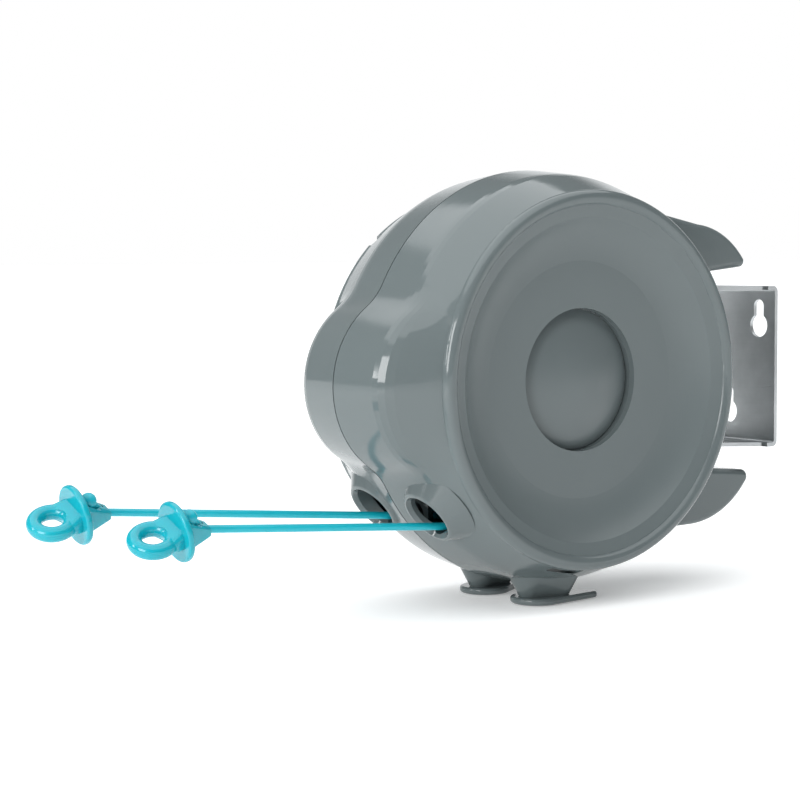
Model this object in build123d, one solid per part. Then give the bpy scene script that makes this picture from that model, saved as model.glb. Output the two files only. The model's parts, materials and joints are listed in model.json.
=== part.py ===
from build123d import *
import os
from math import acos, atan2, cos, hypot, pi, radians, sin, tan

os.makedirs("parts", exist_ok=True)

# All sizes are in millimetres. Origin: centre of the bracket's back face, on the wall.
# +X runs along the drum's axis, +Y goes into the wall, +Z is up.
# The casing, reels and lines are drawn about the drum's centre and moved to DRUM at the end.

# Wall bracket
PLATE_W = 65.0
PLATE_H = 82.0
SHEET = 2.0
BEND_R = 3.0
PIN_Y = -29.6
EAR_R = 12.0
KEYHOLE_R = 6.0
KEYHOLE_SLOT_R = 3.4
KEYHOLE_RISE = 10.0
KEYHOLES = ((-21.2, 20.6), (21.2, 20.6), (0.0, -24.6))  # centres of the round parts, X and Z

# Drum
DRUM = (0.0, -136.6, -1.3)
DRUM_R = 99.4  # at the parting plane
DRAFT = 6.0
WALL = 2.5
BAND_X = 25.0
BAND_EDGE_X = 4.0
FOOT_X = 46.0
FOOT_R = 89.0
BEAD_X = 50.2
BEAD_R = 84.9
DISH_X = 37.5
DISH_R = 56.0
RECESS_R = 33.8
RECESS_X = 30.5
CAP_R = 33.0
CAP_RISE = 9.0
CAP_T = 2.0
CAP_PEGS = (30, 150, 270)
PEG_AT = 25.0
PEG_R = 1.95
JOINT_DEPTH = 0.8
JOINT_GAP = 0.35

# Nose, a round bulge in front of the drum
NOSE_Y = -71.0
NOSE_Z = -1.0
NOSE_R = 45.0
NOSE_EDGE_X = 31.0
NOSE_BLEND_R = 30.0
NOSE_EDGE_ROUND = 4.5
NOSE_FLANK_ROUND = 0.25

# Jaws that hold the swivel pin, outlines in Y and Z
JAW_HALF_W = 20.0
JAW_WALL = 3.0
JAW_EDGE_R = 3.0
UPPER_JAW = {
    "root": (52, 82.2),
    "top": ((94.4, 73.7), (113.7, 67.4), (125.8, 56.6)),
    "tip": ((125.8, 56.6), (126.2, 53.8), (123.8, 52.0)),
    "foot": (60, 46),
    "hollow": ((80, 72.5), (94, 70.2), (110, 64.6), (117, 59.6), (119.5, 56), (107, 54), (86, 52)),
}
LOWER_JAW = {
    "root": (56, -78.5),
    "top": ((90.0, -77.9), (113.5, -71.5), (128.8, -58.2)),
    "tip": ((128.8, -58.2), (129.2, -54.4), (125.5, -52.1)),
    "foot": (60, -46),
    "hollow": ((80, -73.5), (97, -71), (112, -66), (119.5, -60), (122.5, -55.5), (107, -54), (86, -52)),
}

# Swivel pin
PIN_R = 3.0
PIN_HALF_L = 60.0
PIN_BOSS_R = 9.0
WASHER_T = 1.0
WASHER_R = 8.0

# Cleats under the drum
CLEAT_HEAD = (19.7, -13.0)
CLEAT_TAIL = (26.0, 17.0)
CLEAT_BOTTOM = -106.6
CLEAT_T = 3.2
CLEAT_HEAD_R = 12.5
CLEAT_TAIL_R = 2.2
CLEAT_TURN = 12.0
CLEAT_STEM_L = 24.0
CLEAT_STEM_W = 8.0
CLEAT_STEM_H = 14.0
CLEAT_STEM_FLARE = 28.0

# Mouths and lines
MOUTH_X = 21.5
MOUTH_ANGLE = 37.5
MOUTH_R = 11.0
FLARE_DEPTH = 2.0
COLLAR_TOP = 100.0
COLLAR_R = 13.6
COLLAR_FOOT_R = 21.0
COLLAR_H = 9.0
ENTRY_R = 3.6
ENTRY_FROM = 58.0
ENTRY_TO = 74.0
LINE_X = 20.0
LINE_R = 1.75
WRAP_R = 70.4
WRAP_ANGLE = 300.0
LINES = {"left": (-1, 5.05, 230.3), "right": (1, 4.18, 204.9)}  # side, rise in degrees, disc's distance
GUIDE_Y = -54.0
GUIDE_R = 4.97
RIB_Z = -70.5
RIB_W = 23.0
RIB_T = 3.0
RIB_H = 27.0

# Line end: u runs out along the ring, w is square to the ring's plane
END_U = (-0.041, -0.969, -0.242)
END_W = (0.449, -0.236, 0.862)
RING_R = 7.8
RING_TUBE_R = 3.35
RING_U = 11.3
DISC_R = 13.4
DISC_T = 3.0
TAIL_L = 15.0
KNOT_R = 3.6
KNOT_AT = (-6.0, 0.0, 5.2)
EXIT_W = -4.5

# Reel
AXLE_R = 5.0
SOCKET_R = 9.0
SOCKET_X = 26.4
RUN = 0.05
SPOOL_IN_X = 1.0
SPOOL_OUT_X = 24.0
FLANGE_R = 75.0
FLANGE_T = 2.2
CORE_R = 40.0
CORE_WALL = 2.5
COVER_T = 1.6
SPRING_TURNS = 8
SPRING_T = 0.5

# Drain slit on the shoulder: radius, and angles below the front
SLIT_R = 90.3
SLIT_FROM = 74.5
SLIT_TO = 86.0

# Screws that close the casing: angle from +Y towards +Z, and distance from the drum's axis
CASING_SCREWS = ((28, 88), (80, 88), (132, 88), (262, 88), (320, 88))
NOSE_SCREW = (-99.0, 4.0)
BOSS_R = 5.7
BOSS_END_X = 49.0
SCREW_R = 1.5
HEAD_R = 3.0
SCREW_FLOOR_X = 12.0


def both(shape):
    """The shape and its mirror image across the parting plane."""
    return shape + mirror(shape, Plane.YZ)


def drum_radius(x):
    """Outer radius of the drum: a drafted band, a rounded edge and a sloping shoulder."""
    draft = tan(radians(DRAFT))
    edge = DRUM_R - BAND_X * draft
    slope = (edge - FOOT_R) / (FOOT_X - BAND_X)
    into = min(max((x - BAND_X + BAND_EDGE_X) / (2 * BAND_EDGE_X), 0), 1)
    past_edge = BAND_EDGE_X * into**2 + max(x - BAND_X - BAND_EDGE_X, 0)
    return DRUM_R - x * draft - past_edge * (slope - draft)


def outline_points(x, inset):
    """Side view of drum and nose at x: arcs as start, middle and end points, from the back over the top."""
    ring = drum_radius(x) - inset
    bulge = NOSE_R - x * tan(radians(DRAFT)) - inset
    blend = NOSE_BLEND_R + inset
    away = hypot(NOSE_Y, NOSE_Z)
    heading = atan2(NOSE_Z, NOSE_Y)
    swing = acos(((ring + blend) ** 2 + away**2 - (bulge + blend) ** 2) / (2 * (ring + blend) * away))
    nose = Vector(NOSE_Y, NOSE_Z)
    ends = []
    for side in (-1, 1):
        centre = Vector(cos(heading + side * swing), sin(heading + side * swing)) * (ring + blend)
        on_ring = centre * (ring / (ring + blend))
        on_nose = nose + (centre - nose) * (bulge / (bulge + blend))
        middle = centre + ((on_ring + on_nose) / 2 - centre).normalized() * blend
        ends.append((on_ring, middle, on_nose))
    (top, top_mid, top_nose), (low, low_mid, low_nose) = ends
    back = Vector(ring, 0)
    over = (back + top).normalized() * ring
    under = (back + low).normalized() * ring
    tip = Vector(NOSE_Y - bulge, NOSE_Z)
    return [back, over, top, top_mid, top_nose, tip, low_nose, low_mid, low, under, back]


def outline_face(points, x):
    """The outline as a face at x."""
    with BuildLine() as outline:
        for k in range(0, len(points) - 1, 2):
            ThreePointArc(points[k], points[k + 1], points[k + 2])
    return Pos(x, 0, 0) * (Plane.YZ * make_face(outline.line))


def shell_form(inset):
    """One half of drum and nose out to the shoulder's foot: drafted band, rounded edges, sloping shoulder."""
    start_x = NOSE_EDGE_X - NOSE_EDGE_ROUND
    levels = [0, BAND_X - BAND_EDGE_X, BAND_X - BAND_EDGE_X / 3, start_x]
    sections = [outline_face(outline_points(x, inset), x) for x in levels]
    start = outline_points(start_x, inset)
    corner = outline_points(NOSE_EDGE_X, inset)
    foot_x = FOOT_X - inset
    foot = [point.normalized() * (FOOT_R - inset) for point in corner]
    end_x = NOSE_EDGE_X + (foot_x - NOSE_EDGE_X) * NOSE_FLANK_ROUND
    for s in (1 / 3, 2 / 3, 1):
        near, mid, far = (1 - s) ** 2, 2 * s * (1 - s), s * s
        points = []
        for a, b, c in zip(start, corner, foot):
            points.append(a * near + b * mid + (b + (c - b) * NOSE_FLANK_ROUND) * far)
        sections.append(outline_face(points, start_x * near + NOSE_EDGE_X * mid + end_x * far))
    return loft(sections + [outline_face(foot, foot_x)], ruled=True)


def face_cut(inset):
    """What the dished face and the hub's recess take out of one half."""
    end = FOOT_X - inset
    rim = BEAD_R - 2.8
    dish_mid = (DISH_X + 3.6 - inset, DISH_R + 13.0)
    dish_end = (DISH_X - inset, DISH_R)
    recess_r = RECESS_R + inset
    with BuildLine() as section:
        Polyline((end, rim - 6), (end + 9, rim - 6), (end + 9, 0), (RECESS_X - inset, 0))
        Polyline((RECESS_X - inset, 0), (RECESS_X - inset, recess_r), (DISH_X - 0.5 - inset, recess_r))
        Line((DISH_X - 0.5 - inset, recess_r), dish_end)
        ThreePointArc(dish_end, dish_mid, (end, rim - 6))
    return revolve(make_face(section.line), Axis.X)


def bead(inset):
    """The raised ring round the dished face."""
    foot = (FOOT_X - inset, FOOT_R - inset)
    crown = (BEAD_X - inset, BEAD_R - inset * 0.3)
    rim = (BEAD_X - 2.0 - inset, BEAD_R - 2.8)
    with BuildLine() as section:
        ThreePointArc(foot, crown, rim)
        Polyline(rim, (FOOT_X - inset, BEAD_R - 8.8), foot)
    return revolve(make_face(section.line), Axis.X)


def drum_and_nose(inset):
    """Both halves of drum and nose as one solid, set in from the outside by inset."""
    return both(shell_form(inset) - face_cut(inset) + bead(inset))


def jaw(shape):
    """One solid jaw with its side edges rounded."""
    with BuildLine() as outline:
        Line(shape["root"], shape["top"][0])
        ThreePointArc(*shape["top"])
        ThreePointArc(*shape["tip"])
        Polyline(shape["tip"][-1], shape["foot"], shape["root"])
    block = extrude(Plane.YZ * make_face(outline.line), JAW_HALF_W, both=True)
    sides = [e for e in block.edges() if e.bounding_box().size.X < 1 and (e @ 0.5).Y > 62]
    return fillet(sides, JAW_EDGE_R)


def cleat(side):
    """A teardrop plate on a flared stem, moulded with the casing half on that side."""
    head = Pos(side * CLEAT_HEAD[0], CLEAT_HEAD[1], 0) * Circle(CLEAT_HEAD_R)
    tail = Pos(side * CLEAT_TAIL[0], CLEAT_TAIL[1], 0) * Circle(CLEAT_TAIL_R)
    plate = extrude(make_hull(head.edges() + tail.edges()), CLEAT_T)
    plate = Pos(0, 0, CLEAT_BOTTOM) * fillet(plate.edges(), 1.3)
    turn = -side * CLEAT_TURN
    stem = Rot(0, 0, turn) * SlotOverall(CLEAT_STEM_L, CLEAT_STEM_W, rotation=90)
    stem = Pos(side * (CLEAT_HEAD[0] + 1), CLEAT_HEAD[1] + 4, CLEAT_BOTTOM + 1.5) * stem
    return plate + extrude(stem, CLEAT_STEM_H, taper=-CLEAT_STEM_FLARE)


def radial(x, angle, distance):
    """A frame on the drum with Z pointing out along the radius, angle below the front horizontal."""
    a = radians(angle)
    out = Vector(0, -cos(a), -sin(a))
    return Plane(origin=Vector(x, 0, 0) + out * distance, x_dir=(1, 0, 0), z_dir=out)


def mouth_collar(side):
    """A low cone round the mouth that stands out of the shoulder."""
    plane = radial(side * MOUTH_X, MOUTH_ANGLE, COLLAR_TOP - COLLAR_H)
    collar = plane * Cone(COLLAR_FOOT_R, COLLAR_R, COLLAR_H, align=(Align.CENTER, Align.CENTER, Align.MIN))
    rim = collar.edges().filter_by(GeomType.CIRCLE).sort_by(Axis(plane.origin, plane.z_dir))[-1]
    return fillet([rim], 1.6)


def mouth_hole(side):
    """The mouth and the slanting way in for the line."""
    sign = LINES[side][0]
    hole = radial(sign * MOUTH_X, MOUTH_ANGLE, DRUM_R - 20) * extrude(Circle(MOUTH_R), 30)
    flare = radial(sign * MOUTH_X, MOUTH_ANGLE, COLLAR_TOP - FLARE_DEPTH) * Cone(
        MOUTH_R, MOUTH_R + FLARE_DEPTH, FLARE_DEPTH * 1.4, align=(Align.CENTER, Align.CENTER, Align.MIN)
    )
    start, along, _ = line_frame(side)
    return hole + flare + rod_between(start + along * ENTRY_FROM, start + along * ENTRY_TO, ENTRY_R)


def line_frame(side):
    """Where a line leaves its coil, and the direction it runs in."""
    sign, rise, reach = LINES[side]
    a = radians(rise)
    start = Vector(sign * LINE_X, -WRAP_R * sin(a), -WRAP_R * cos(a))
    return start, Vector(0, -cos(a), sin(a)), reach


def guide_centre(side):
    """Where a line passes through its guide."""
    start, along, _ = line_frame(side)
    return start + along * ((GUIDE_Y - start.Y) / along.Y)


def screw_places():
    """The casing screws' places, in Y and Z."""
    places = [(r * cos(radians(a)), r * sin(radians(a))) for a, r in CASING_SCREWS]
    return places + [NOSE_SCREW]


def x_rod(radius, x0, x1, y=0.0, z=0.0):
    """A round rod along X from x0 to x1."""
    return Pos(min(x0, x1), y, z) * Rot(0, 90, 0) * Cylinder(
        radius, abs(x1 - x0), align=(Align.CENTER, Align.CENTER, Align.MIN)
    )


def x_tube(outer, inner, x0, x1, y=0.0, z=0.0):
    """A round tube along X from x0 to x1."""
    return x_rod(outer, x0, x1, y, z) - x_rod(inner, x0 - 1, x1 + 1, y, z)


def z_rod(radius, z0, z1, x=0.0, y=0.0):
    """A round rod along Z from z0 to z1."""
    return Pos(x, y, min(z0, z1)) * Cylinder(
        radius, abs(z1 - z0), align=(Align.CENTER, Align.CENTER, Align.MIN)
    )


PIN_FROM_DRUM = PIN_Y - DRUM[1]
FLANGE_TOP = PLATE_H / 2 - DRUM[2]
FLANGE_LOW = -PLATE_H / 2 - DRUM[2]


def casing_form():
    """The outside of the whole casing as one solid."""
    body = drum_and_nose(0)
    body += jaw(UPPER_JAW)
    body += jaw(LOWER_JAW)
    body += z_rod(PIN_BOSS_R, FLANGE_TOP + WASHER_T + 0.2, 60, 0, PIN_FROM_DRUM)
    body += z_rod(PIN_BOSS_R, FLANGE_LOW - WASHER_T - 0.2, -60, 0, PIN_FROM_DRUM)
    for side in (-1, 1):
        body += cleat(side)
        body += mouth_collar(side)
    return body


def jaw_hollow(shape):
    """The hollow inside one jaw, round the pin's boss."""
    outline = make_face(Polyline(*shape["hollow"], close=True))
    hollow = extrude(Plane.YZ * outline, JAW_HALF_W - JAW_WALL, both=True)
    return hollow - x_rod(DRUM_R, -60, 60) - z_rod(PIN_BOSS_R, -90, 90, 0, PIN_FROM_DRUM)


def casing_cavity():
    """The space inside the casing."""
    room = drum_and_nose(WALL)
    room += jaw_hollow(UPPER_JAW)
    room += jaw_hollow(LOWER_JAW)
    return room


def casing_fittings(sign):
    """What stands inside one half: screw bosses, the axle's socket and the guide's rib."""
    parts = x_rod(SOCKET_R, sign * SOCKET_X, sign * (RECESS_X - 1))
    for y, z in screw_places():
        parts += x_rod(BOSS_R, 0, sign * BOSS_END_X, y, z)
    parts += Pos(sign * (LINE_X + 1), GUIDE_Y, RIB_Z) * Box(RIB_W, RIB_T, RIB_H)
    return parts & FORM


def joint_groove():
    """The shallow groove along the parting line, round the drum and the nose but not the jaws."""
    slab = Box(2 * JOINT_GAP, 300, 230)
    slab -= extrude(outline_face(outline_points(0, JOINT_DEPTH), 0), 1, both=True)
    slab &= Pos(0, -87, 0) * Box(4, 300, 240)
    return slab


def drain_slit(sign):
    """A long thin slot low on the shoulder that lets water out."""
    ring = x_tube(SLIT_R + 0.8, SLIT_R - 0.8, sign * 36, sign * 60)
    a, b = radians(SLIT_FROM), radians(SLIT_TO)
    far = 1.3 * SLIT_R
    corners = [(-far * cos(angle), -far * sin(angle)) for angle in (a, b)]
    wedge = make_face(Polyline((0, 0), *corners, close=True))
    return ring & extrude(Plane.YZ * wedge, 60, both=True)


def casing_half(sign):
    """One moulded half: shell, fittings, holes and a shallow groove along the parting line."""
    name = "right" if sign > 0 else "left"
    half = FORM & Pos(sign * 60, 0, 0) * Box(120, 400, 400)
    shell = half - CAVITY
    shell += casing_fittings(sign) & half
    shell -= joint_groove()
    shell -= mouth_hole(name)
    shell -= x_rod(AXLE_R + 0.03, sign * 20, sign * 28.9)
    shell -= x_rod(2.2, sign * 20, sign * 40)
    shell -= z_rod(PIN_R + 0.02, -PIN_HALF_L - 0.1, PIN_HALF_L + 0.1, 0, PIN_FROM_DRUM)
    centre = guide_centre(name)
    shell -= Pos(centre.X, GUIDE_Y, centre.Z) * Rot(90, 0, 0) * Cylinder(GUIDE_R + RUN, 2 * RIB_T)
    for y, z in screw_places():
        if sign > 0:
            shell -= x_rod(SCREW_R, 0, 15, y, z)
        else:
            shell -= x_rod(SCREW_R + 0.4, -SCREW_FLOOR_X - 1, 0, y, z)
            shell -= x_rod(HEAD_R + 0.6, -60, -SCREW_FLOOR_X, y, z)
    for angle in CAP_PEGS:
        y, z = PEG_AT * cos(radians(angle)), PEG_AT * sin(radians(angle))
        shell -= x_rod(PEG_R + RUN, sign * 20, sign * 40, y, z)
    shell -= drain_slit(sign)
    return shell


def hub_cap(sign):
    """A thin dome over the end of the axle, held by three pegs."""
    base = RECESS_X
    with BuildLine() as section:
        Polyline((base + CAP_RISE - CAP_T, 0), (base + CAP_RISE, 0))
        ThreePointArc((base + CAP_RISE, 0), (base + CAP_RISE - 2.1, CAP_R / 2), (base + 0.9, CAP_R))
        Polyline((base + 0.9, CAP_R), (base, CAP_R), (base, CAP_R - CAP_T), (base + 0.4, CAP_R - CAP_T))
        ThreePointArc(
            (base + 0.4, CAP_R - CAP_T),
            (base + CAP_RISE - 2.1 - CAP_T, CAP_R / 2),
            (base + CAP_RISE - CAP_T, 0),
        )
    dome = revolve(make_face(section.line), Axis.X)
    for angle in CAP_PEGS:
        y, z = PEG_AT * cos(radians(angle)), PEG_AT * sin(radians(angle))
        dome += x_rod(PEG_R, base - 2.4, base + 3.4, y, z)
    return dome if sign > 0 else mirror(dome, Plane.YZ)


def pan_screw(shank_r, shank_l, head_r, head_h):
    """A screw along +Z with its head's underside at the origin, head above, with a cross slot."""
    head = Cylinder(head_r, head_h, align=(Align.CENTER, Align.CENTER, Align.MIN))
    head = fillet(head.edges().sort_by(Axis.Z)[-1:], head_h * 0.45)
    shank = Pos(0, 0, -shank_l) * Cylinder(shank_r, shank_l, align=(Align.CENTER, Align.CENTER, Align.MIN))
    shank = chamfer(shank.edges().sort_by(Axis.Z)[:1], shank_r * 0.4)
    slot_l, slot_w = head_r * 1.1, head_r * 0.25
    cross = Pos(0, 0, head_h) * (Box(slot_l, slot_w, head_h) + Box(slot_w, slot_l, head_h))
    return head + shank - cross


def casing_screws():
    screw = Rot(0, -90, 0) * pan_screw(SCREW_R - 0.02, SCREW_FLOOR_X + 12, HEAD_R, 2.2)
    return [Pos(-SCREW_FLOOR_X, y, z) * screw for y, z in screw_places()]


def axle():
    """A fixed rod with a slot across each half that holds the spring's inner end."""
    rod = x_rod(AXLE_R, -28.8, 28.8)
    for sign in (-1, 1):
        rod -= Pos(sign * 14.0, 0, 0) * Box(14.4, 1.0, 20)
        rod -= x_rod(1.7, sign * 19, sign * 30)
    return rod


def axle_screws():
    screw = pan_screw(1.68, 9.0, 4.0, 2.4)
    right = Pos(RECESS_X, 0, 0) * Rot(0, 90, 0) * screw
    left = Pos(-RECESS_X, 0, 0) * Rot(0, -90, 0) * screw
    return [right, left]


def spool(sign):
    """Flanges, a hollow core for the spring and a hub that runs on the axle."""
    body = x_rod(FLANGE_R, SPOOL_IN_X, SPOOL_IN_X + FLANGE_T)
    body += x_tube(CORE_R, CORE_R - CORE_WALL, SPOOL_IN_X, SPOOL_OUT_X)
    body += x_tube(FLANGE_R, CORE_R - CORE_WALL, SPOOL_OUT_X - FLANGE_T, SPOOL_OUT_X)
    body += x_rod(AXLE_R + 3.0, SPOOL_IN_X, SPOOL_IN_X + 5.0)
    for k in range(4):
        a = radians(45 + 90 * k)
        body += x_rod(3.0, SPOOL_IN_X + FLANGE_T, SPOOL_OUT_X, 36 * cos(a), 36 * sin(a))
    body -= x_rod(AXLE_R + RUN, 0, 30)
    for k in range(4):
        a = radians(45 + 90 * k)
        body -= x_rod(1.2, SPOOL_OUT_X - 8, SPOOL_OUT_X + 1, 36 * cos(a), 36 * sin(a))
    for k in range(6):
        a = radians(60 * k)
        body -= x_rod(4.0, SPOOL_OUT_X - FLANGE_T - 0.5, SPOOL_OUT_X + 1, 70 * cos(a), 70 * sin(a))
    return body if sign > 0 else mirror(body, Plane.YZ)


def spring_cover(sign):
    """A disc that closes the spring's chamber and is the spool's second bearing."""
    cover = x_rod(44.0, SPOOL_OUT_X, SPOOL_OUT_X + COVER_T)
    cover -= x_rod(AXLE_R + RUN, 0, 40)
    for k in range(4):
        a = radians(45 + 90 * k)
        cover -= x_rod(1.4, 20, 30, 36 * cos(a), 36 * sin(a))
    return cover if sign > 0 else mirror(cover, Plane.YZ)


def cover_screws(sign):
    top = SPOOL_OUT_X + COVER_T
    screw = Pos(top, 0, 0) * Rot(0, 90, 0) * pan_screw(1.18, 7.0, 2.2, 1.3)
    made = []
    for k in range(4):
        a = radians(45 + 90 * k)
        one = Pos(0, 36 * cos(a), 36 * sin(a)) * screw
        made.append(one if sign > 0 else mirror(one, Plane.YZ))
    return made


def power_spring(sign):
    """A flat spiral strip from the axle's slot out to the spool's core."""
    r0, r1 = AXLE_R + 1.5, 32.0
    inner, outer = [], []
    steps = SPRING_TURNS * 16
    for k in range(steps + 1):
        a = 2 * pi * SPRING_TURNS * k / steps
        r = r0 + (r1 - r0) * k / steps
        inner.append((r * sin(a), r * cos(a)))
        outer.append(((r + SPRING_T) * sin(a), (r + SPRING_T) * cos(a)))
    with BuildLine(Plane.YZ) as outline:
        Spline(*inner)
        Spline(*outer)
        Line(inner[0], outer[0])
        Line(inner[-1], outer[-1])
    strip = extrude(make_face(outline.line), 12.0)
    tongue = Pos(6.0, 0, (r0 + SPRING_T + 1.0) / 2) * Box(12.0, SPRING_T, r0 + SPRING_T - 1.0)
    strip = Pos(8.0, 0, 0) * (strip + tongue)
    return strip if sign > 0 else mirror(strip, Plane.YZ)


def wound_line(sign):
    """The line on its spool: a ring whose outside shows the separate turns."""
    x0 = SPOOL_IN_X + FLANGE_T + 0.1
    x1 = SPOOL_OUT_X - FLANGE_T - 0.1
    outer = WRAP_R - LINE_R - 0.05
    turns = 5
    pitch = (x1 - x0) / turns
    with BuildLine() as section:
        Polyline((x0, outer - 0.9), (x0, CORE_R + 0.05), (x1, CORE_R + 0.05), (x1, outer - 0.9))
        for k in range(turns):
            x = x1 - k * pitch
            ThreePointArc((x, outer - 0.9), (x - pitch / 2, outer), (x - pitch, outer - 0.9))
    coil = revolve(make_face(section.line), Axis.X)
    return coil if sign > 0 else mirror(coil, Plane.YZ)


def end_plane(side):
    """The line end's own frame: X is u, out along the ring, and Z is w."""
    start, along, reach = line_frame(side)
    u = Vector(*END_U).normalized()
    w = Vector(*END_W)
    w = (w - u * w.dot(u)).normalized()
    exit_point = start + along * (reach - TAIL_L)
    origin = exit_point + u * TAIL_L - w * EXIT_W
    return Plane(origin=origin, x_dir=u, z_dir=w)


def clamp_section(u, half_v, w_low, w_high, r):
    plane = Plane(origin=(u, 0, (w_low + w_high) / 2), x_dir=(0, 1, 0), z_dir=(-1, 0, 0))
    return plane * RectangleRounded(2 * half_v, w_high - w_low, r)


def cord_run(side):
    """The bend point inside the clamp and the knot's centre, in the drum's frame."""
    start, along, reach = line_frame(side)
    bend = start + along * (reach - TAIL_L + 2.0)
    knot = end_plane(side).from_local_coords(Vector(*KNOT_AT))
    return bend, knot


def rod_between(a, b, radius):
    return Plane(origin=a, z_dir=b - a) * extrude(Circle(radius), (b - a).length)


def line_end(side):
    """Ring, stopper disc and clamp with a pocket for the line's knot, in one moulding."""
    ring = Pos(RING_U, 0, 0) * Torus(RING_R, RING_TUBE_R)
    disc = Rot(0, 90, 0) * Cylinder(DISC_R, DISC_T)
    disc = fillet(disc.edges().filter_by(GeomType.CIRCLE), 1.2)
    hub = loft([clamp_section(0.5, 9.0, -5.5, 5.5, 4.5), clamp_section(7.5, 9.8, -2.9, 2.9, 2.6)])
    hub -= Pos(RING_U, 0, 0) * Cylinder(RING_R - RING_TUBE_R * 0.55, 20)
    tail = loft([clamp_section(-0.5, 7.0, -8.5, 8.0, 2.5), clamp_section(-TAIL_L, 3.4, -7.0, -1.8, 1.6)])
    body = ring + disc + hub + tail
    body -= Pos(KNOT_AT[0], 0, KNOT_AT[2] + 6.0) * Box(8.4, 8.4, 20.0)
    body = end_plane(side) * body
    along = line_frame(side)[1]
    bend, knot = cord_run(side)
    body -= rod_between(bend - along * 4.0, bend, LINE_R + 0.3)
    body -= Pos(*bend) * Sphere(LINE_R + 0.3)
    body -= rod_between(bend, knot, LINE_R + 0.3)
    return body


def line(side):
    """The last turn on the coil, the free run and the knot, as one piece."""
    start = line_frame(side)[0]
    a0 = radians(LINES[side][1])

    def on_wrap(turned):
        a = a0 - turned
        return Vector(start.X, -WRAP_R * sin(a), -WRAP_R * cos(a))

    turn = radians(WRAP_ANGLE)
    bend, knot = cord_run(side)
    with BuildLine() as path:
        ThreePointArc(on_wrap(turn), on_wrap(turn / 2), start)
        Line(start, bend)
    section = Plane(origin=path.line @ 0, z_dir=path.line % 0) * Circle(LINE_R)
    cord = sweep(section, path.line)
    cord += Pos(*bend) * Sphere(LINE_R)
    cord += rod_between(bend, knot, LINE_R)
    return cord + Pos(*knot) * Sphere(KNOT_R)


def line_guide(side):
    """A flanged bush in the rib behind the mouth."""
    centre = guide_centre(side)
    bush = Cylinder(GUIDE_R, RIB_T) + Pos(0, 0, 2.5) * Cylinder(7.0, 2.0) - Cylinder(2.7, 20)
    return Pos(centre.X, GUIDE_Y, centre.Z) * Rot(90, 0, 0) * bush


def keyhole(x, z):
    hole = Cylinder(KEYHOLE_R, 20) + Pos(0, KEYHOLE_RISE / 2, 0) * Box(2 * KEYHOLE_SLOT_R, KEYHOLE_RISE, 20)
    hole += Pos(0, KEYHOLE_RISE, 0) * Cylinder(KEYHOLE_SLOT_R, 20)
    return Pos(x, 0, z) * Rot(90, 0, 0) * hole


def wall_bracket():
    """Folded steel: a plate with keyholes and an ear above and below."""
    half = PLATE_H / 2
    with BuildLine(Plane.YZ) as section:
        Polyline((PIN_Y - EAR_R, half), (-BEND_R, half))
        TangentArc((-BEND_R, half), (0, half - BEND_R), tangent=(1, 0))
        Line((0, half - BEND_R), (0, BEND_R - half))
        TangentArc((0, BEND_R - half), (-BEND_R, -half), tangent=(0, -1))
        Polyline((-BEND_R, -half), (PIN_Y - EAR_R, -half), (PIN_Y - EAR_R, SHEET - half))
        Line((PIN_Y - EAR_R, SHEET - half), (-BEND_R, SHEET - half))
        TangentArc((-BEND_R, SHEET - half), (-SHEET, BEND_R - half), tangent=(1, 0))
        Line((-SHEET, BEND_R - half), (-SHEET, half - BEND_R))
        TangentArc((-SHEET, half - BEND_R), (-BEND_R, half - SHEET), tangent=(0, 1))
        Polyline((-BEND_R, half - SHEET), (PIN_Y - EAR_R, half - SHEET), (PIN_Y - EAR_R, half))
    strip = extrude(make_face(section.line), PLATE_W / 2, both=True)
    ear = Pos(0, PIN_Y, 0) * Circle(EAR_R)
    foot = Pos(0, -6, 0) * Rectangle(PLATE_W - 8, 2)
    plan = extrude(make_hull(ear.edges() + foot.edges()), PLATE_H, both=True)
    plan += Pos(0, -2.5, 0) * Box(PLATE_W, 9, 2 * PLATE_H)
    bracket = strip & plan
    for x, z in KEYHOLES:
        bracket -= keyhole(x, z)
    bracket -= z_rod(PIN_R + RUN, -60, 60, 0, PIN_Y)
    return bracket


def pivot_pin():
    pin = z_rod(PIN_R, -PIN_HALF_L, PIN_HALF_L)
    return chamfer(pin.edges().filter_by(GeomType.CIRCLE), 0.5)


def pivot_washers():
    ring = Cylinder(WASHER_R, WASHER_T) - Cylinder(PIN_R + RUN, 5)
    return [Pos(0, 0, z) * ring for z in (FLANGE_TOP + 0.1 + WASHER_T / 2, FLANGE_LOW - 0.1 - WASHER_T / 2)]


def save(name, shape, place=DRUM):
    """Writes one node, moved from the drum's centre to its place in the part's frame."""
    pieces = shape if isinstance(shape, list) else [shape]
    solids = [Pos(*place) * solid for piece in pieces for solid in piece.solids()]
    export_step(Compound(children=solids) if len(solids) > 1 else solids[0], f"parts/{name}.step")


FORM = casing_form()
CAVITY = casing_cavity()

save("wall_bracket", wall_bracket(), (0, 0, 0))
save("pivot_pin", Pos(0, PIN_FROM_DRUM, 0) * pivot_pin())
save("pivot_washers", [Pos(0, PIN_FROM_DRUM, 0) * ring for ring in pivot_washers()])
save("casing_screws", casing_screws())
save("axle", axle())
save("axle_screws", axle_screws())
save("spool_spacer", x_tube(11.0, AXLE_R + RUN, -0.8, 0.8))
save("thrust_washers", [x_tube(SOCKET_R, AXLE_R + RUN, sign * 25.7, sign * 26.3) for sign in (1, -1)])
for side, (sign, _, _) in LINES.items():
    save(f"{side}_casing", casing_half(sign))
    save(f"{side}_hub_cap", hub_cap(sign))
    save(f"{side}_spool", spool(sign))
    save(f"{side}_spring_cover", spring_cover(sign))
    save(f"{side}_cover_screws", cover_screws(sign))
    save(f"{side}_power_spring", power_spring(sign))
    save(f"{side}_wound_line", wound_line(sign))
    save(f"{side}_line", line(side))
    save(f"{side}_line_end", line_end(side))
    save(f"{side}_line_guide", line_guide(side))
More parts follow.
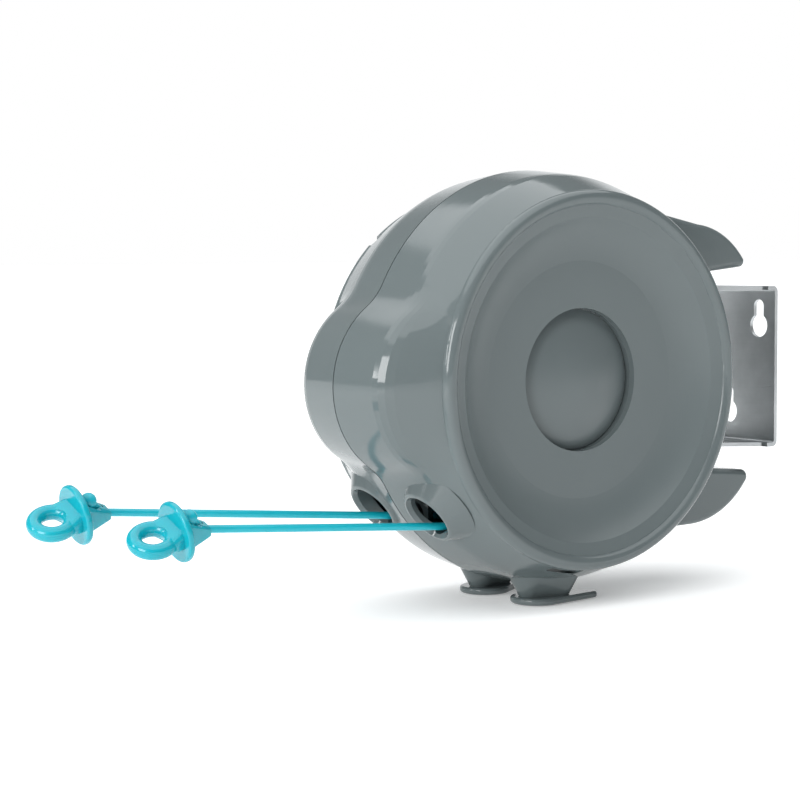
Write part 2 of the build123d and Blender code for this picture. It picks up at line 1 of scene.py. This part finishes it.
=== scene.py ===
import json
from math import cos, pi, radians, sin, sqrt

import bpy
from mathutils import Matrix, Vector


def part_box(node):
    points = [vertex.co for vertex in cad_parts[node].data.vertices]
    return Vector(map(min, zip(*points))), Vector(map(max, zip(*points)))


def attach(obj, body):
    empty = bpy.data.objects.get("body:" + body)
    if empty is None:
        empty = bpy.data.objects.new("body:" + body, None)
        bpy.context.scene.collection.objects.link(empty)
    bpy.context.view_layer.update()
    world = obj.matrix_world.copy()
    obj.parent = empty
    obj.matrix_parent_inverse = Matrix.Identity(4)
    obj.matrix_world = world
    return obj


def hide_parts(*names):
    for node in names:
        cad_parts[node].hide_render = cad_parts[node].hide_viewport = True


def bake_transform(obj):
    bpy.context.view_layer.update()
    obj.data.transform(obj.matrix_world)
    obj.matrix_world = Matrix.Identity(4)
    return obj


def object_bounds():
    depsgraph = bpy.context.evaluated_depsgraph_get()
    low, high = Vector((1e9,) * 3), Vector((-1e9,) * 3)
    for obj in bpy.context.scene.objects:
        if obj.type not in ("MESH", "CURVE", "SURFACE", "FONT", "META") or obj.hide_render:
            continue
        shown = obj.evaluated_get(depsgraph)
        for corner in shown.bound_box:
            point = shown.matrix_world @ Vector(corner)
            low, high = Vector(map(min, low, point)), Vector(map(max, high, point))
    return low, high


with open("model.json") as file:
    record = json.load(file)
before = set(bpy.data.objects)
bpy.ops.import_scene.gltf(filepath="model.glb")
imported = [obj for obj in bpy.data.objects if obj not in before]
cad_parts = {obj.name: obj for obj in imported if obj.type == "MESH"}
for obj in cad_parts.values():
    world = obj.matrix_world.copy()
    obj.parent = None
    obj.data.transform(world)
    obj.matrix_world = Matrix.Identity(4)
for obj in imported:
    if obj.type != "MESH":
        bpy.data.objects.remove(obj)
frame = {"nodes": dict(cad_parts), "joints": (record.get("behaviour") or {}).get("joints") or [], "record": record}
cad_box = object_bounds()

NODES = frame["nodes"]


def middle(node):
    low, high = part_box(node)
    return (low + high) / 2


DRUM = middle("axle")
SIDES = (("left", -1), ("right", 1))

# ---------------------------------------------------------------- materials


class Shader:
    """A material's node tree, with one call for each kind of node that the materials share."""

    def __init__(self, name):
        self.material = bpy.data.materials.new(name)
        self.material.use_nodes = True
        self.tree = self.material.node_tree
        self.tree.nodes.clear()
        self.output = self.tree.nodes.new("ShaderNodeOutputMaterial")
        self.surface = self.tree.nodes.new("ShaderNodeBsdfPrincipled")
        self.tree.links.new(self.surface.outputs[0], self.output.inputs[0])
        self.place = self.tree.nodes.new("ShaderNodeTexCoord").outputs["Object"]

    def link(self, source, target):
        self.tree.links.new(source, target)

    def put(self, socket, value):
        """Plugs in another node's output, or sets a plain value."""
        if isinstance(value, bpy.types.NodeSocket):
            self.tree.links.new(value, socket)
        elif value is not None:
            socket.default_value = value

    def noise(self, scale, detail=3.0, rough=0.5, stretch=(1, 1, 1), at=None):
        mapping = self.tree.nodes.new("ShaderNodeMapping")
        mapping.inputs["Scale"].default_value = stretch
        self.put(mapping.inputs["Vector"], at or self.place)
        node = self.tree.nodes.new("ShaderNodeTexNoise")
        node.inputs["Scale"].default_value = scale
        node.inputs["Detail"].default_value = detail
        node.inputs["Roughness"].default_value = rough
        self.link(mapping.outputs[0], node.inputs["Vector"])
        return node.outputs["Fac"]

    def math(self, kind, a, b=0.0, c=0.0):
        node = self.tree.nodes.new("ShaderNodeMath")
        node.operation = kind
        for socket, value in zip(node.inputs, (a, b, c)):
            self.put(socket, value)
        return node.outputs[0]

    def remap(self, value, low, high, to_low, to_high, smooth=True):
        node = self.tree.nodes.new("ShaderNodeMapRange")
        node.interpolation_type = "SMOOTHSTEP" if smooth else "LINEAR"
        for socket, one in zip(node.inputs, (value, low, high, to_low, to_high)):
            self.put(socket, one)
        return node.outputs[0]

    def mix(self, share, a, b):
        node = self.tree.nodes.new("ShaderNodeMix")
        node.data_type = "RGBA"
        self.put(node.inputs["Factor"], share)
        for socket, colour in ((node.inputs[6], a), (node.inputs[7], b)):
            self.put(socket, (*colour, 1) if isinstance(colour, tuple) else colour)
        return node.outputs[2]

    def bump(self, height, strength, distance, under=None):
        node = self.tree.nodes.new("ShaderNodeBump")
        node.inputs["Strength"].default_value = strength
        node.inputs["Distance"].default_value = distance
        self.put(node.inputs["Height"], height)
        self.put(node.inputs["Normal"], under)
        return node.outputs[0]

    def axes(self):
        node = self.tree.nodes.new("ShaderNodeSeparateXYZ")
        self.link(self.place, node.inputs[0])
        return node.outputs

    def radius(self):
        """Distance from the drum's axis."""
        x, y, z = self.axes()
        y = self.math("SUBTRACT", y, DRUM.y)
        z = self.math("SUBTRACT", z, DRUM.z)
        return self.math("SQRT", self.math("ADD", self.math("MULTIPLY", y, y), self.math("MULTIPLY", z, z)))

    def set(self, **values):
        for name, value in values.items():
            socket = self.surface.inputs[name.replace("_", " ")]
            self.put(socket, (*value, 1) if isinstance(value, tuple) and len(value) == 3 else value)


def scuffed(shader, low, high, scale=90.0):
    """Roughness that varies in soft patches, as handling leaves it."""
    return shader.remap(shader.noise(scale, 4.0, 0.6), 0.3, 0.75, low, high)


def casing_plastic():
    s = Shader("casing_grey")
    tone = s.mix(s.noise(14.0, 2.0), (0.118, 0.142, 0.146), (0.130, 0.155, 0.158))
    speck = s.remap(s.noise(2600.0, 2.0, 0.7), 0.62, 0.80, 0.0, 0.25)
    s.set(Base_Color=s.mix(speck, tone, (0.165, 0.190, 0.193)))
    satin = s.remap(s.radius(), 0.0800, 0.0845, 1.0, 0.0)
    x, y, z = s.axes()
    face = s.math("MULTIPLY", satin, s.remap(s.math("ABSOLUTE", x), 0.030, 0.036, 0.0, 1.0))
    gloss = s.math("ADD", scuffed(s, 0.055, 0.12), s.math("MULTIPLY", face, 0.30))
    s.set(Roughness=gloss, IOR=1.5)
    ripple = s.bump(s.noise(210.0, 2.0), 0.05, 0.0004)
    s.set(Normal=s.bump(s.noise(3200.0, 1.0), 0.05, 0.0001, ripple))
    return s.material


def cap_plastic():
    s = Shader("cap_grey")
    tone = s.mix(s.noise(30.0, 2.0), (0.112, 0.135, 0.139), (0.124, 0.147, 0.150))
    s.set(Base_Color=tone, Roughness=scuffed(s, 0.30, 0.40), IOR=1.5)
    s.set(Normal=s.bump(s.noise(2400.0, 2.0), 0.10, 0.0001))
    return s.material


def brushed_steel(name, tone, dull, low, high, stretch):
    """Metal with fine grain along one axis, cloudy plating and small dull spots."""
    s = Shader(name)
    grain = s.noise(900.0, 3.0, 0.6, stretch)
    cloud = s.noise(45.0, 4.0, 0.55)
    s.set(Base_Color=s.mix(s.remap(cloud, 0.3, 0.7, 0.0, 1.0), tone, dull), Metallic=1.0)
    s.set(Roughness=s.math("ADD", s.remap(grain, 0.2, 0.8, low, high), s.math("MULTIPLY", cloud, 0.06)))
    s.set(Normal=s.bump(grain, 0.12, 0.0002))
    return s.material


def moulded(name, a, b, low, high, scale=1500.0):
    """Plain moulded plastic with a fine grain."""
    s = Shader(name)
    s.set(Base_Color=s.mix(s.noise(40.0, 3.0), a, b), Roughness=scuffed(s, low, high))
    s.set(Normal=s.bump(s.noise(scale, 2.0), 0.08, 0.0001))
    return s.material


def line_plastic():
    s = Shader("line_teal")
    s.set(Base_Color=s.mix(s.noise(160.0, 3.0), (0.004, 0.42, 0.52), (0.008, 0.47, 0.57)))
    s.set(Roughness=scuffed(s, 0.28, 0.40), Subsurface_Weight=0.08, Subsurface_Scale=0.002)
    s.set(Normal=s.bump(s.noise(900.0, 2.0, 0.5, (1, 0.15, 1)), 0.12, 0.0002))
    return s.material


def end_plastic():
    s = Shader("end_teal")
    s.set(Base_Color=s.mix(s.noise(90.0, 3.0), (0.003, 0.33, 0.41), (0.006, 0.38, 0.46)))
    s.set(Roughness=scuffed(s, 0.12, 0.22), Subsurface_Weight=0.15, Subsurface_Scale=0.004)
    s.set(Normal=s.bump(s.noise(700.0, 2.0), 0.05, 0.0002))
    return s.material


MATERIALS = {
    "casing_grey": casing_plastic(),
    "cap_grey": cap_plastic(),
    "bracket_steel": brushed_steel("bracket_steel", (0.60, 0.62, 0.63), (0.50, 0.52, 0.53), 0.28, 0.45, (0.06, 1, 1)),
    "pin_steel": brushed_steel("pin_steel", (0.56, 0.57, 0.58), (0.48, 0.49, 0.50), 0.18, 0.30, (1, 1, 0.05)),
    "screw_steel": brushed_steel("screw_steel", (0.66, 0.67, 0.68), (0.58, 0.59, 0.60), 0.16, 0.26, (0.3, 1, 1)),
    "spring_steel": brushed_steel("spring_steel", (0.22, 0.26, 0.33), (0.16, 0.18, 0.22), 0.22, 0.36, (0.1, 1, 1)),
    "spool_white": moulded("spool_white", (0.74, 0.75, 0.74), (0.80, 0.81, 0.80), 0.35, 0.5),
    "guide_black": moulded("guide_black", (0.018, 0.019, 0.020), (0.028, 0.029, 0.030), 0.3, 0.45),
    "line_teal": line_plastic(),
    "end_teal": end_plastic(),
}

for row in frame["record"]["subparts"]:
    mesh = NODES[row["node"]].data
    mesh.materials.clear()
    mesh.materials.append(MATERIALS[row["material_slot"]])

# ---------------------------------------------------------------- lines

LINE_X = 0.020
LINE_R = 0.00175
COIL_R = 0.0704
LAP_TURN = radians(300)
LINE_REACH = {"left": 0.2303, "right": 0.2049}  # from leaving the coil to the stopper disc
CLAMP_DEPTH = 0.013  # from the disc back to the bend inside the clamp
KNOT_R = 0.0036
KNOT_AT = (-0.006, 0.0052)  # along the line end's U and W from the disc's centre
TAIL_L = 0.015
EXIT_W = -0.0045
END_U = Vector((-0.041, -0.969, -0.242)).normalized()
END_W = Vector((0.449, -0.236, 0.862))
END_W = (END_W - END_U * END_W.dot(END_U)).normalized()
RING_SIDES = 16


def tube(name, places, tangents, radii, slot):
    """A round cord through the places, closed at both ends."""
    mesh = bpy.data.meshes.new(name)
    vertices, faces = [], []
    for place, tangent, radius in zip(places, tangents, radii):
        across = Vector((1, 0, 0))
        up = tangent.cross(across).normalized()
        across = up.cross(tangent).normalized()
        for k in range(RING_SIDES):
            a = 2 * pi * k / RING_SIDES
            vertices.append(place + (across * cos(a) + up * sin(a)) * radius)
    for n in range(len(places) - 1):
        for k in range(RING_SIDES):
            first = n * RING_SIDES
            after = (k + 1) % RING_SIDES
            faces.append((first + k, first + after, first + after + RING_SIDES, first + k + RING_SIDES))
    faces.append(tuple(reversed(range(RING_SIDES))))
    faces.append(tuple(range(len(vertices) - RING_SIDES, len(vertices))))
    mesh.from_pydata(vertices, [], faces)
    mesh.shade_smooth()
    mesh.materials.append(MATERIALS[slot])
    piece = bpy.data.objects.new(name, mesh)
    bpy.context.scene.collection.objects.link(piece)
    return piece


def pull_joint(side):
    for joint in frame["joints"]:
        if joint["name"] == f"{side}_line_pull":
            return joint
    raise ValueError(side)


def line(side, sign):
    """The free run as a straight tube from the coil to the bend, the lap on the coil and the knot in the clamp."""
    along = Vector(pull_joint(side)["axis"]).normalized()
    start = DRUM + Vector((sign * LINE_X, -COIL_R * along.z, COIL_R * along.y))
    bend = start + along * (LINE_REACH[side] - CLAMP_DEPTH)
    steps = 96
    places = [start.lerp(bend, k / steps) for k in range(steps + 1)]
    run = tube(f"{side}_line_run", places, [along] * len(places), [LINE_R] * len(places), "line_teal")
    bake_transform(run)
    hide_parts(f"{side}_line")

    centre = Vector((start.x, DRUM.y, DRUM.z))
    out = start - centre
    laps, heads = [], []
    for k in range(steps + 1):
        turned = Matrix.Rotation(-LAP_TURN * (1 - k / steps), 3, "X")
        laps.append(centre + turned @ out)
        heads.append(turned @ along)
    lap = tube(f"{side}_line_lap", laps, heads, [LINE_R] * len(laps), "line_teal")
    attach(lap, "casing")

    leave = start + along * (LINE_REACH[side] - TAIL_L)
    disc = leave + END_U * TAIL_L - END_W * EXIT_W
    knot = disc + END_U * KNOT_AT[0] + END_W * KNOT_AT[1]
    heading = (knot - bend).normalized()
    length = (knot - bend).length
    places, radii = [], []
    for k in range(steps // 2 + 1):
        t = (length + KNOT_R * 0.99) * k / (steps // 2)
        places.append(bend + heading * t)
        radii.append(max(LINE_R, sqrt(max(KNOT_R**2 - (t - length) ** 2, 0))) if t < length else
                     sqrt(max(KNOT_R**2 - (t - length) ** 2, 0)))
    end = tube(f"{side}_line_knot", places, [heading] * len(places), radii, "line_teal")
    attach(end, f"{side}_line_end")


def spring(side):
    """The power spring's inner end is held in the axle's slot, so the strip stays with the casing."""
    node = NODES[f"{side}_power_spring"]
    strip = bpy.data.objects.new(f"{side}_spring_strip", node.data.copy())
    strip.matrix_world = node.matrix_world.copy()
    bpy.context.scene.collection.objects.link(strip)
    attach(strip, "casing")
    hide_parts(f"{side}_power_spring")


for side, sign in SIDES:
    line(side, sign)
    spring(side)

# ---------------------------------------------------------------- stage

FLOOR_Z = cad_box[0][2] - 0.0004
FLOOR_GLOW = 0.25


def floor_material():
    s = Shader("stage_white")
    s.set(Base_Color=s.mix(s.noise(3.0), (0.93, 0.93, 0.93), (0.95, 0.95, 0.95)), Roughness=0.8)
    s.set(Specular_IOR_Level=0.1, Normal=s.bump(s.noise(60.0), 0.02, 0.001))
    s.set(Emission_Color=(1.0, 1.0, 1.0), Emission_Strength=FLOOR_GLOW)
    return s.material


def backdrop():
    """A wide pale floor."""
    mesh = bpy.data.meshes.new("floor")
    half = 30.0
    corners = [(-half, -half, FLOOR_Z), (half, -half, FLOOR_Z), (half, half, FLOOR_Z), (-half, half, FLOOR_Z)]
    mesh.from_pydata(corners, [], [(0, 1, 2, 3)])
    mesh.materials.append(floor_material())
    floor = bpy.data.objects.new("floor", mesh)
    bpy.context.scene.collection.objects.link(floor)


def softbox(name, place, target, size, power):
    light = bpy.data.lights.new(name, "AREA")
    light.shape = "RECTANGLE"
    light.size, light.size_y = size
    light.energy = power
    lamp = bpy.data.objects.new(name, light)
    lamp.location = place
    lamp.rotation_euler = (Vector(target) - Vector(place)).to_track_quat("-Z", "Y").to_euler()
    bpy.context.scene.collection.objects.link(lamp)
    return lamp


WALLS = 0.21
CEILING = 1.6
CEILING_EDGE = (0.67, 0.70)  # sine of the height above the horizon where the bright ceiling starts
BACK_WALL = 0.75
BACK_WALL_WAY = (-0.80, 0.60, 0.0)


def sky():
    """White to the camera; to everything else a bright ceiling, a bright wall behind and dimmer walls."""
    world = bpy.data.worlds.new("studio")
    world.use_nodes = True
    tree = world.node_tree
    tree.nodes.clear()

    def remap(value, low, high, to_low, to_high):
        node = tree.nodes.new("ShaderNodeMapRange")
        node.interpolation_type = "SMOOTHSTEP"
        tree.links.new(value, node.inputs["Value"])
        for key, one in zip(("From Min", "From Max", "To Min", "To Max"), (low, high, to_low, to_high)):
            node.inputs[key].default_value = one
        return node.outputs[0]

    def join(kind, a, b):
        node = tree.nodes.new("ShaderNodeMath")
        node.operation = kind
        for socket, value in zip(node.inputs, (a, b)):
            if isinstance(value, float):
                socket.default_value = value
            else:
                tree.links.new(value, socket)
        return node.outputs[0]

    way = tree.nodes.new("ShaderNodeTexCoord").outputs["Generated"]
    split = tree.nodes.new("ShaderNodeSeparateXYZ")
    tree.links.new(way, split.inputs[0])
    height = split.outputs[2]
    toward = tree.nodes.new("ShaderNodeVectorMath")
    toward.operation = "DOT_PRODUCT"
    tree.links.new(way, toward.inputs[0])
    toward.inputs[1].default_value = BACK_WALL_WAY
    ceiling = remap(height, *CEILING_EDGE, 0.0, CEILING)
    behind = join("MULTIPLY", remap(toward.outputs["Value"], 0.55, 0.95, 0.0, BACK_WALL), remap(height, 0.25, 0.5, 1.0, 0.0))
    light = join("ADD", join("ADD", ceiling, behind), WALLS)
    lit = tree.nodes.new("ShaderNodeBackground")
    lit.inputs["Color"].default_value = (0.97, 0.99, 1.0, 1)
    tree.links.new(light, lit.inputs["Strength"])
    seen = tree.nodes.new("ShaderNodeBackground")
    seen.inputs["Color"].default_value = (1, 1, 1, 1)
    path = tree.nodes.new("ShaderNodeLightPath")
    mix = tree.nodes.new("ShaderNodeMixShader")
    output = tree.nodes.new("ShaderNodeOutputWorld")
    tree.links.new(path.outputs["Is Camera Ray"], mix.inputs[0])
    tree.links.new(lit.outputs[0], mix.inputs[1])
    tree.links.new(seen.outputs[0], mix.inputs[2])
    tree.links.new(mix.outputs[0], output.inputs[0])
    bpy.context.scene.world = world


CAMERA_AT = DRUM + Vector((0.765603, -0.634707, 0.059524))
CAMERA_RIGHT = Vector((0.58804, 0.80882, -0.00511))
CAMERA_UP = Vector((-0.05453, 0.04595, 0.99745))
CAMERA_BACK = Vector((0.80699, -0.58626, 0.07112))


def camera():
    lens = bpy.data.cameras.new("camera")
    lens.sensor_width = 36.0
    lens.lens = 92.144
    lens.clip_end = 100.0
    view = bpy.data.objects.new("camera", lens)
    turn = Matrix((CAMERA_RIGHT, CAMERA_UP, CAMERA_BACK)).transposed().to_4x4()
    view.matrix_world = Matrix.Translation(CAMERA_AT) @ turn
    bpy.context.scene.collection.objects.link(view)
    bpy.context.scene.camera = view


backdrop()
sky()
softbox("side_light", DRUM + Vector((-0.35, -1.3, 0.45)), DRUM, (0.16, 0.5), 3.0)
softbox("front_light", DRUM + Vector((0.60, -1.90, 0.60)), DRUM, (0.9, 0.9), 22.0)
camera()
bpy.context.scene.view_settings.view_transform = "Standard"
